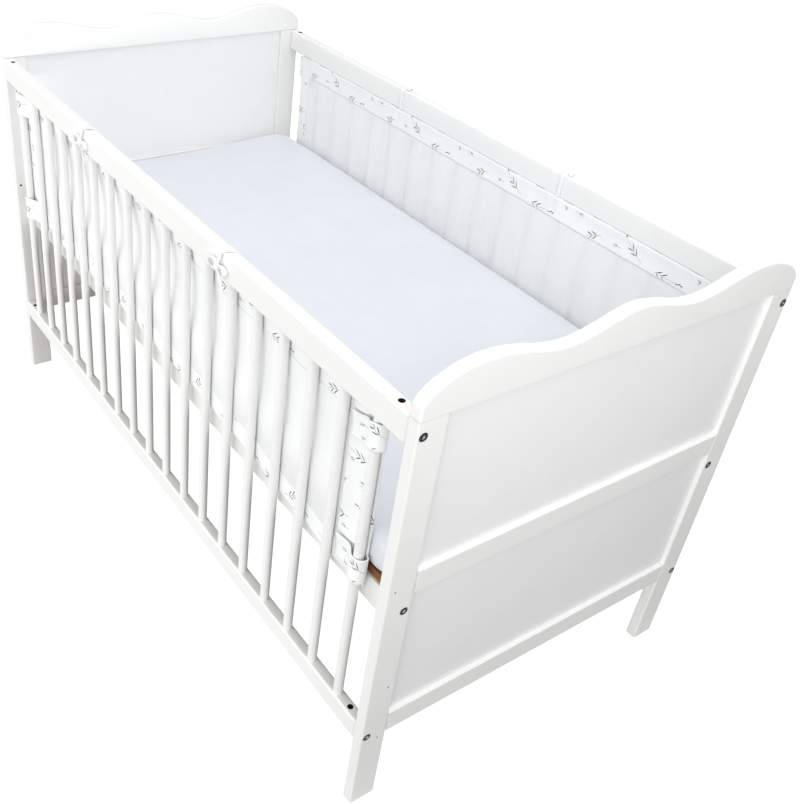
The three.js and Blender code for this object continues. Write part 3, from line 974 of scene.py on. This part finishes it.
def cloth_grid(name, columns, rows, place, cut, seam, thickness, hem=None):
    """A sheet over a grid: place in millimetres, cut and seam maps in metres, thicker at its hems"""
    clear_selection()
    bpy.ops.mesh.primitive_grid_add(x_subdivisions=columns, y_subdivisions=rows, size=2)
    piece = new_piece(name)
    mesh = piece.data
    shares = [((vertex.co.x + 1) / 2, (vertex.co.y + 1) / 2) for vertex in mesh.vertices]
    for vertex, (u, v) in zip(mesh.vertices, shares):
        vertex.co = Vector(place(u, v)) * MM
    mesh.uv_layers[0].name = "cut"
    mesh.uv_layers.new(name="seam")
    for loop in mesh.loops:
        u, v = shares[loop.vertex_index]
        mesh.uv_layers["cut"].data[loop.index].uv = cut(u, v)
        mesh.uv_layers["seam"].data[loop.index].uv = seam(u, v)
    settings = {"thickness": thickness, "offset": 0}
    if hem:
        group = piece.vertex_groups.new(name="hem")
        for vertex, (u, v) in zip(mesh.vertices, shares):
            group.add([vertex.index], hem(u, v), "REPLACE")
        ridge = bpy.context.scene.bumper_sizes.seam_ridge
        settings.update(vertex_group="hem", thickness=thickness + ridge)
        settings["thickness_vertex_group"] = thickness / (thickness + ridge)
    apply_modifier(piece, "SOLIDIFY", **settings)
    face_out(piece)
    bpy.ops.object.shade_smooth()
    return piece


def hanging_cloth(panel, x, z):
    """Middle of the hanging cloth: leans in over the mattress, bulges out between dowels, creased"""
    data = PANELS[panel]
    sizes = bpy.context.scene.cot_sizes
    wander = 12 * math.sin(x / 97 + 0.6) + 6 * math.sin(x / 41)
    rise = ease(z, LEAN_BEGINS[0] + wander / 2, LEAN_BEGINS[1] + wander)
    fall = 1 - ease(z, LEAN_ENDS[0] + wander, LEAN_ENDS[1])
    lean = from_table(LEAN[panel], x) * rise * fall
    span = sizes.dowel_span / MM
    gap = (x + span / 2) / (span / (sizes.dowel_count - 1))
    share = GAP_BULGE[int(gap)] if 0 <= gap < len(GAP_BULGE) else 0
    clear = 1 - ease(lean, 0, 4)
    top_fade = 1 - ease(z, PANEL_TOP - 1.5 * BORDER_HEIGHT, PANEL_TOP)
    bulge = BULGE_DEPTH * share * (0.5 - 0.5 * math.cos(gap * 2 * math.pi)) * clear * top_fade
    crease = bpy.context.scene.bumper_sizes.crease / MM
    ripple = crease * (0.5 + 0.5 * unevenness(x, z, data["side"])) * (1 - 0.75 * ease(z, *CREASES_FADE))
    for tie in data["ties"]:
        pull = math.exp(-(((x - tie) / TIE_REACH) ** 2)) * ease(z, *TIE_PULLS)
        ripple += pull * (TIE_PUCKER + TIE_PUCKER * math.sin((x - tie) / TIE_PUCKER_PITCH))
    tuck_in = data["tuck"][1] * ease(z, *TUCKS_IN)
    return x, data["side"] * (CLOTH_Y - lean + bulge - ripple - tuck_in), z


def top_edge(panel, x):
    """The top edge is tucked up under the rail, a little unevenly"""
    data = PANELS[panel]
    return PANEL_TOP + data["tuck"][0] + 0.5 * unevenness(x * 0.35, 0, data["side"])


def low_edge(panel, x):
    return PANEL_TOP - PANEL_HEIGHT + from_table(SAG[panel], x)


def tape_strip(kind, path, width, columns):
    """Flat tape along a path, its width in a direction"""
    sizes = bpy.context.scene.bumper_sizes
    wide = sizes.tape_width / MM
    direction = Vector(width)
    long = path_length(path) * MM

    def place(u, v):
        return along_curve(path, u) + direction * ((v - 0.5) * wide * TAPE_SPREAD[kind](u))

    def cut(u, v):
        return u * long, (v - 0.5) * sizes.tape_width

    return cloth_grid(f"tape_{kind}", columns, 4, place, cut, cut, sizes.tape)


# ---------------------------------------------------------------- operators


class COT_OT_stage(bpy.types.Operator):
    """Sets the camera, the soft studio light and the pale floor"""

    bl_idname = "cot.stage"
    bl_label = "Stage"

    def execute(self, context):
        clear_selection()
        scene = context.scene
        bpy.ops.object.camera_add(
            location=(1.38701, -1.03568, 1.48952),
            rotation=(math.radians(54.712), math.radians(-4.870), math.radians(56.315)),
        )
        camera = context.object
        camera.name = "photo_camera"
        camera.data.sensor_fit = "HORIZONTAL"
        camera.data.sensor_width = 36
        camera.data.lens = 44.166
        camera.data.shift_x = 0.10491
        camera.data.shift_y = -0.02345
        scene.camera = camera
        for name, (place, size, power) in LIGHTS.items():
            bpy.ops.object.light_add(type="AREA", location=place)
            light = context.object
            light.name = name
            light.data.shape = "RECTANGLE"
            light.data.size, light.data.size_y = size
            light.data.energy = power
            aim = LIGHTS_AIM - light.location
            light.rotation_euler = aim.to_track_quat("-Z", "Y").to_euler()
        world = bpy.data.worlds.new("Studio")
        world.use_nodes = True
        sky = world.node_tree.nodes["Background"].inputs
        sky["Color"].default_value, sky["Strength"].default_value = SKY
        scene.world = world
        scene.view_settings.view_transform = "Standard"
        bpy.ops.mesh.primitive_plane_add(size=30, location=(0, 0, 0))
        floor = new_piece("studio_floor")
        floor.data.materials.append(studio_floor())
        return {"FINISHED"}


class COT_OT_slatted_sides(bpy.types.Operator):
    """Makes the two slatted sides: rails, dowels and nut holes"""

    bl_idname = "cot.slatted_sides"
    bl_label = "Slatted sides"

    def execute(self, context):
        sizes = context.scene.cot_sizes
        rails = []
        for name, (low, high) in RAILS.items():
            rail = board(
                name, (-RAIL_END, -HALF_Y, low), (RAIL_END, BOARD - HALF_Y, high), sizes.edge_round / MM
            )
            for x in (-NUT_HOLE_X, NUT_HOLE_X):
                place = (x, -DOWEL_Y, high + (CUT_PAST - NUT_HOLE_DEPTH) / 2)
                depth = NUT_HOLE_DEPTH + CUT_PAST
                bore(rail, place, sizes.nut_hole / MM / 2, depth, UPRIGHT, bored_wood_and_shade())
            rails.append(rail)
        span = sizes.dowel_span / MM
        radius = sizes.dowel_diameter / 2
        low, high = RAILS["rail_low"][1], RAILS["rail_top"][0]
        dowel = round_bar(32, radius / MM, high - low, (-span / 2, -DOWEL_Y, (low + high) / 2), UPRIGHT)
        dowel.name = "dowel"
        pick(dowel, "FACE", lambda face: abs(face.normal.z) > 0.9)
        with editing(None):
            bpy.ops.mesh.inset(thickness=radius * 0.2, use_individual=True)
            bpy.ops.mesh.extrude_region_shrink_fatten(TRANSFORM_OT_shrink_fatten={"value": TENON * MM})
        dowel.data.materials.append(paint())
        pitch = span / (sizes.dowel_count - 1)
        dowels = [dowel]
        for index in range(1, sizes.dowel_count):
            dowels.append(copy_of(dowel, f"dowel_{index}", move=(index * pitch, 0, 0)))
        near = join(rails + dowels, "slatted_side_near")
        smooth(near)
        far = copy_of(near, "slatted_side_far", move=(0, 2 * DOWEL_Y, 0))
        hand_over(near, "white_paint", "side_near")
        hand_over(far, "white_paint", "side_far")
        return {"FINISHED"}


class COT_OT_posts(bpy.types.Operator):
    """Makes the four corner posts with their counterbores"""

    bl_idname = "cot.posts"
    bl_label = "Corner posts"

    def execute(self, context):
        post = board(
            "corner_post_right_near", (INNER_X, -HALF_Y, -SAW_WASTE),
            (HALF_X, POST_DEPTH - HALF_Y, JOINT_Z + SAW_WASTE), POST_ROUND,
        )
        for z, above in ((0, False), (JOINT_Z, True)):
            saw(post, z, above)
        for y, z in BOLTS.values():
            bore(post, (HALF_X, -y, z), *COUNTERBORE, ALONG_X, paint())
        bore(post, (INNER_X, *PEG_HOLE), *PEG_BORE, ALONG_X, bored_wood_and_shade())
        smooth(post)
        for name, flip in list(CORNERS.items())[1:]:
            twin = copy_of(post, f"corner_post_{name}", flip=flip)
            hand_over(twin, "white_paint", f"post_{name}")
        # Small screw holes lined with the dark bored wood, partly painted shade
        for y, z in SCREW_HOLES:
            bore(post, (HALF_X, y, z), *SCREW_HOLE_BORE, ALONG_X, bored_wood_and_shade(), sides=12)
        smooth(post)
        hand_over(post, "white_paint", "post_right_near")
        return {"FINISHED"}


class COT_OT_end_boards(bpy.types.Operator):
    """Makes the wavy boards on top of the two ends"""

    bl_idname = "cot.end_boards"
    bl_label = "Wavy end boards"

    def execute(self, context):
        clear_selection()
        bpy.ops.curve.primitive_bezier_curve_add(
            location=((HALF_X - BOARD / 2) * MM, 0, 0), rotation=(math.pi / 2, 0, math.pi / 2)
        )
        outline = context.object.data
        crest = [(-y, z) for y, z in WAVE[:0:-1]] + WAVE
        points = [(-HALF_Y, WAVE_FOOT)] + crest + [(HALF_Y, WAVE_FOOT)]
        spline = outline.splines[0]
        spline.bezier_points.add(len(points) - len(spline.bezier_points))
        for point, (y, z) in zip(spline.bezier_points, points):
            point.co = (y * MM, z * MM, 0)
            point.handle_left_type = point.handle_right_type = "AUTO"
        for index in (0, 1, -1):
            spline.bezier_points[index].handle_left_type = "VECTOR"
        for index in (0, -2, -1):
            spline.bezier_points[index].handle_right_type = "VECTOR"
        spline.use_cyclic_u = True
        spline.resolution_u = 8
        outline.dimensions = "2D"
        outline.fill_mode = "BOTH"
        outline.extrude = (BOARD / 2 - WAVE_ROUND) * MM
        outline.bevel_depth = WAVE_ROUND * MM
        outline.bevel_resolution = 3
        outline.offset = -WAVE_ROUND * MM
        bpy.ops.object.convert(target="MESH")
        right = new_piece("wavy_board_right")
        apply_place()
        face_out(right)
        saw(right, JOINT_Z + WAVE_SEAT, False)
        finish_with(right, paint())
        smooth(right, 30)
        left = copy_of(right, "wavy_board_left", flip=(-1, 1, 1))
        hand_over(right, "white_paint", "end_board_right")
        hand_over(left, "white_paint", "end_board_left")
        return {"FINISHED"}


class COT_OT_end_frames(bpy.types.Operator):
    """Makes the cross rails of the ends and paints their panels"""

    bl_idname = "cot.end_frames"
    bl_label = "End rails and panels"

    def execute(self, context):
        for name, (low, high) in CROSS_RAILS.items():
            rail = board(
                f"cross_rail_{name}_right", (INNER_X, -CROSS_RAIL_HALF, low),
                (HALF_X, CROSS_RAIL_HALF, high), 1.5, 2,
            )
            smooth(rail)
            twin = copy_of(rail, f"cross_rail_{name}_left", flip=(-1, 1, 1))
            hand_over(rail, "white_paint", f"end_rail_{name}_right")
            hand_over(twin, "white_paint", f"end_rail_{name}_left")
        for end in ("left", "right"):
            for part in ("high", "low"):
                finish_with(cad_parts[f"end_panel_{part}_{end}"], panel_paint())
        return {"FINISHED"}


class COT_OT_bolts(bpy.types.Operator):
    """Makes the bolt heads on the posts"""

    bl_idname = "cot.bolts"
    bl_label = "Bolts"

    def execute(self, context):
        y, z = BOLTS["top"]
        face_x = HALF_X + BOLT_STAND
        head = round_bar(40, BOLT_RADIUS, BOLT_HEAD, (face_x - BOLT_HEAD / 2, -y, z), ALONG_X)
        new_piece("bolt_head_top_right_near")
        head.data.materials.append(dark_steel_and_shade())
        head.data.materials.append(steel())
        pick(head, "FACE", lambda face: face.normal.x > 0.9)
        with editing(None):
            bpy.ops.mesh.inset(thickness=BOLT_RIM * MM)
        middle = Vector((0, -y * MM, z * MM))
        # Only the outer rim turns to the light steel; the face round the socket and the sides keep the
        # dark steel, partly painted shade of the recess
        for face in head.data.polygons:
            offset = (face.center - middle) * Vector((0, 1, 1))
            if face.normal.x > 0.9 and offset.length > BOLT_RIM_FROM * MM:
                face.material_index = 1
        bore(head, (face_x, -y, z), *BOLT_SOCKET, ALONG_X, steel(), sides=6)
        smooth(head)
        for name, (bolt_y, bolt_z) in BOLTS.items():
            move = (0, y - bolt_y, bolt_z - z)
            for place, flip in CORNERS.items():
                if (name, place) == ("top", "right_near"):
                    continue
                twin = copy_of(head, f"bolt_head_{name}_{place}", move=move, flip=flip)
                hand_over(twin, "steel", f"bolt_{name}_{place}")
        hand_over(head, "steel", "bolt_top_right_near")
        return {"FINISHED"}


class COT_OT_mattress_base(bpy.types.Operator):
    """Paints the mattress base boards and finishes the bare deck"""

    bl_idname = "cot.mattress_base"
    bl_label = "Mattress base"

    def execute(self, context):
        for side in ("near", "far"):
            finish_with(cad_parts[f"mattress_base_board_{side}"], paint())
        finish_with(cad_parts["mattress_base_deck"], raw_board())
        return {"FINISHED"}


class COT_OT_mattress(bpy.types.Operator):
    """Makes the mattress with its soft edges and fitted cover"""

    bl_idname = "cot.mattress"
    bl_label = "Mattress"

    def execute(self, context):
        sizes = context.scene.cot_sizes
        low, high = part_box("mattress")
        clear_selection()
        bpy.ops.mesh.primitive_cube_add(size=1, location=(low + high) / 2, scale=high - low)
        mattress = new_piece("mattress_in_cover")
        apply_place()
        for offset, upright in ((sizes.mattress_corner, True), (sizes.mattress_edge, False)):

            def wanted(edge):
                a, b = (mattress.data.vertices[index].co.z for index in edge.vertices)
                return (abs(a - b) > 0.01) == upright

            pick(mattress, "EDGE", wanted)
            with editing(None):
                bevel(offset, 8)
        apply_modifier(mattress, "REMESH", mode="VOXEL", voxel_size=0.0075, use_smooth_shade=True)
        apply_modifier(mattress, "SMOOTH", factor=0.5, iterations=4)
        edge_x, edge_y = MATTRESS_EDGE_FROM
        for vertex in mattress.data.vertices:
            x, y, z = (part / MM for part in vertex.co)
            top = ease(z, *MATTRESS_TOP)
            edge = max(abs(x) - edge_x, abs(y) - edge_y) / 50
            crown = MATTRESS_CROWN * top * (1 - ease(edge, -4, 0.9))
            waves = math.sin(x / 19 + 0.7 * math.sin(y / 31)) * math.sin(y / 23 + x / 57)
            pucker = MATTRESS_PUCKER * ease(edge, -0.2, 0.8) * waves
            droop = HEAD_DROOP * ease(-x, *HEAD_DROOP_X) * (1 - 0.8 * ease(y, *HEAD_DROOP_Y))
            vertex.co.z += (crown * unevenness(x * 0.23, y * 0.23, 3) - 0.6 - droop) * top * MM
            if abs(y) > edge_y and z > 476:
                vertex.co.y -= math.copysign(max(pucker, 0) + 0.3, y) * MM
        finish_with(mattress, mattress_cover())
        work_on(mattress)
        bpy.ops.object.shade_smooth()
        hand_over(mattress, "mattress_cover", "mattress")
        return {"FINISHED"}


class BUMPER_OT_mesh_panels(bpy.types.Operator):
    """Hangs the two mesh panels"""

    bl_idname = "bumper.mesh_panels"
    bl_label = "Mesh panels"

    def execute(self, context):
        sizes = context.scene.bumper_sizes
        for panel, data in PANELS.items():
            x0 = data["ends"][0] + data["bands"][0] - SEAM_ALLOWANCE
            x1 = data["ends"][1] - data["bands"][1] + SEAM_ALLOWANCE
            top = PANEL_TOP - BORDER_HEIGHT + SEAM_ALLOWANCE

            def spot(u, v):
                x = x0 + (x1 - x0) * u
                low = low_edge(panel, x) + BORDER_HEIGHT - SEAM_ALLOWANCE
                return x, low + (top - low) * v

            def place(u, v):
                return hanging_cloth(panel, *spot(u, v))

            def cut(u, v):
                return [part * MM for part in spot(u, v)]

            piece = cloth_grid(f"mesh_cloth_{panel}", 260, 44, place, cut, cut, sizes.mesh_cloth)
            piece.data.materials.append(spacer_mesh())
            hand_over(piece, "spacer_mesh", f"mesh_panel_{panel}")
        return {"FINISHED"}


class BUMPER_OT_printed_edges(bpy.types.Operator):
    """Sews the printed borders and end bands round the mesh"""

    bl_idname = "bumper.printed_edges"
    bl_label = "Printed edges"

    def execute(self, context):
        sizes = context.scene.bumper_sizes
        row_height = PRINT_REPEAT[1]
        for panel, data in PANELS.items():
            left, right = data["ends"]
            x0, x1 = left + data["bands"][0], right - data["bands"][1]

            def low(x):
                return low_edge(panel, x)

            def low_seam(x):
                return low(x) + BORDER_HEIGHT

            def top_seam(x):
                return PANEL_TOP - BORDER_HEIGHT

            def top(x):
                return top_edge(panel, x)

            strips = [
                ("border_top", x0, x1, top_seam, top, 260, 12),
                ("border_low", x0, x1, low, low_seam, 260, 12),
                ("band_left", left, x0, low, top, 16, 76),
                ("band_right", x1, right, low, top, 20, 76),
            ]
            for name, a, b, lower, upper, columns, rows in strips:

                def spot(u, v):
                    x = a + (b - a) * u
                    return x, lower(x) + (upper(x) - lower(x)) * v

                def from_seam(u, v):
                    x, z = spot(u, v)
                    return {
                        "border_top": z - lower(x), "border_low": upper(x) - z, "band_left": b - x,
                        "band_right": x - a,
                    }[name]

                def place(u, v):
                    return hanging_cloth(panel, *spot(u, v))

                def cut(u, v):
                    x, z = spot(u, v)
                    high = z - lower(x)
                    if name == "border_top":
                        high = min(high, row_height - 0.1)
                    if name == "border_low":
                        high += row_height
                    return (x + data["print"]) * MM, high * MM

                def seam(u, v):
                    x, z = spot(u, v)
                    return (x if name.startswith("border") else z) * MM, from_seam(u, v) * MM

                def hem(u, v):
                    return 1 - ease(from_seam(u, v), *HEM)

                piece = cloth_grid(
                    f"printed_{name}_{panel}", columns, rows, place, cut, seam, sizes.cotton, hem
                )
                piece.data.materials.append(printed_cotton())
                size = (abs(b - a) * MM, (upper((a + b) / 2) - lower((a + b) / 2)) * MM)
                hand_over(piece, "printed_cotton", f"{name}_{panel}")
        return {"FINISHED"}


class BUMPER_OT_tabs(bpy.types.Operator):
    """Passes the printed tabs round the end dowels"""

    bl_idname = "bumper.tabs"
    bl_label = "Tabs"

    def execute(self, context):
        sizes = context.scene.bumper_sizes
        half_span = context.scene.cot_sizes.dowel_span / MM / 2
        for panel, data in PANELS.items():
            for tab in TABS:
                end, height = tab["end"], tab["height"]
                cloth_end = data["ends"][0 if end < 0 else 1]
                axis = end * half_span
                path = [(abs(cloth_end - axis) + TAB_CLEAR, 0, 0)]
                path += [(out, back, 0) for out, back in TAB_PATH]
                long = path_length(path)
                low = tab["top"] - height if "top" in tab else low_edge(panel, cloth_end) + tab["drop"]
                cut_x, cut_y = TAB_CUT[end]

                def place(u, v):
                    spot = along_curve(path, u)
                    lift = tab["lift"] * ease(u, TAB_LIFTS[0], 1) * ease(v, TAB_LIFTS[1], 1)
                    curl = TAB_CURL * (2 * v - 1) ** 4
                    return (
                        axis + end * spot.x, data["side"] * (CLOTH_Y + spot.y + lift + curl),
                        low + height * v + tab["slant"] * ease(u, TAB_SLANTS, 1),
                    )

                def cut(u, v):
                    return (end * u * long + cut_x) * MM, (v * height + cut_y) * MM

                def seam(u, v):
                    return u * long * MM, min(v, 1 - v) * height * MM

                def hem(u, v):
                    return 1 - ease(min(v, 1 - v) * height, *TAB_HEM)

                name = f"{tab['name']}_{panel}"
                thin = sizes.cotton * TAB_CLOTH
                piece = cloth_grid(f"printed_{name}", 56, 16, place, cut, seam, thin, hem)
                piece.data.materials.append(printed_cotton())
                hand_over(piece, "printed_cotton", name)
        return {"FINISHED"}


class BUMPER_OT_ties(bpy.types.Operator):
    """Ties the tapes round the top rails in small bows"""

    bl_idname = "bumper.ties"
    bl_label = "Ties"

    def knot(self, middle):
        """The pressed knot with its folds round a middle in millimetres"""
        clear_selection()
        bpy.ops.mesh.primitive_uv_sphere_add(segments=28, ring_count=16, radius=1)
        mesh = bpy.context.object.data
        for vertex in mesh.vertices:
            ray = vertex.co.copy()
            folds = 1 + 0.07 * math.sin(5 * ray.z + 4 * ray.x)
            folds -= 0.10 * math.exp(-((ray.z - 0.35) ** 2) / 0.02)
            out = Vector([part * size for part, size in zip(ray, KNOT_SIZE)])
            vertex.co = (middle + out * folds) * MM
        mesh.uv_layers[0].name = "cut"
        for loop in mesh.uv_layers["cut"].data:
            loop.uv = (loop.uv[0] * 0.03, (loop.uv[1] - 0.5) * 0.008)
        mesh.uv_layers.new(name="seam")
        return bpy.context.object

    def execute(self, context):
        sizes = context.scene.bumper_sizes
        for panel, data in PANELS.items():
            for end, x in zip(("left", "right"), data["ties"]):
                name = f"tie_{end}_{panel}"
                side = data["side"]

                def spot(point):
                    return x + point[0], side * (HALF_Y + point[1]), KNOT_Z + point[2]

                gap = TAPE_CLEAR + sizes.tape / MM / 2
                ring = [
                    (x, side * (HALF_Y + out + gap - TIE_RING_GAP), KNOT_Z + up) for out, up in TIE_RING
                ]
                strips = [tape_strip("ring", ring, (1, 0, 0), 96)]
                for loop in BOW_LOOPS:
                    path = [spot(point) for point in loop]
                    strips.append(tape_strip("loop", path, (0.1, side, 0.35), 44))
                for loose in BOW_ENDS:
                    path = [spot(point) for point in loose]
                    strips.append(tape_strip("end", path, (1, 0, 0), 28))
                knot = self.knot(Vector(spot((0, KNOT_OUT, 0))))
                tie = join(strips + [knot], f"tape_{name}")
                face_out(tie)
                bpy.ops.object.shade_smooth()
                finish_with(tie, white_tape())
                for face in tie.data.polygons:
                    face.material_index = 0
                hand_over(tie, "white_tape", name)
        return {"FINISHED"}


OPERATORS = [
    COT_OT_stage,
    COT_OT_slatted_sides,
    COT_OT_posts,
    COT_OT_end_boards,
    COT_OT_end_frames,
    COT_OT_bolts,
    COT_OT_mattress_base,
    COT_OT_mattress,
    BUMPER_OT_mesh_panels,
    BUMPER_OT_printed_edges,
    BUMPER_OT_tabs,
    BUMPER_OT_ties,
]


class VIEW3D_PT_cot_bumper(bpy.types.Panel):
    """Lists the sizes, the finishes and the making steps"""

    bl_label = "Cot bumper"
    bl_idname = "VIEW3D_PT_cot_bumper"
    bl_space_type = "VIEW_3D"
    bl_region_type = "UI"
    bl_category = "Cot bumper"

    def draw(self, context):
        scene = context.scene
        for group in (scene.cot_sizes, scene.bumper_sizes, scene.bumper_finishes):
            box = self.layout.box()
            for name in group.__annotations__:
                box.prop(group, name)
        for operator in OPERATORS:
            self.layout.operator(operator.bl_idname)


CLASSES = [CotSizes, BumperSizes, Finishes, *OPERATORS, VIEW3D_PT_cot_bumper]


def register():
    for cls in CLASSES:
        bpy.utils.register_class(cls)
    bpy.types.Scene.cot_sizes = PointerProperty(type=CotSizes)
    bpy.types.Scene.bumper_sizes = PointerProperty(type=BumperSizes)
    bpy.types.Scene.bumper_finishes = PointerProperty(type=Finishes)


def unregister():
    del bpy.types.Scene.bumper_finishes
    del bpy.types.Scene.bumper_sizes
    del bpy.types.Scene.cot_sizes
    for cls in reversed(CLASSES):
        bpy.utils.unregister_class(cls)


def main():
    register()
    bpy.ops.cot.stage()
    bpy.ops.cot.slatted_sides()
    bpy.ops.cot.posts()
    bpy.ops.cot.end_boards()
    bpy.ops.cot.end_frames()
    bpy.ops.cot.bolts()
    bpy.ops.cot.mattress_base()
    bpy.ops.cot.mattress()
    bpy.ops.bumper.mesh_panels()
    bpy.ops.bumper.printed_edges()
    bpy.ops.bumper.tabs()
    bpy.ops.bumper.ties()


if __name__ == "__main__":
    main()
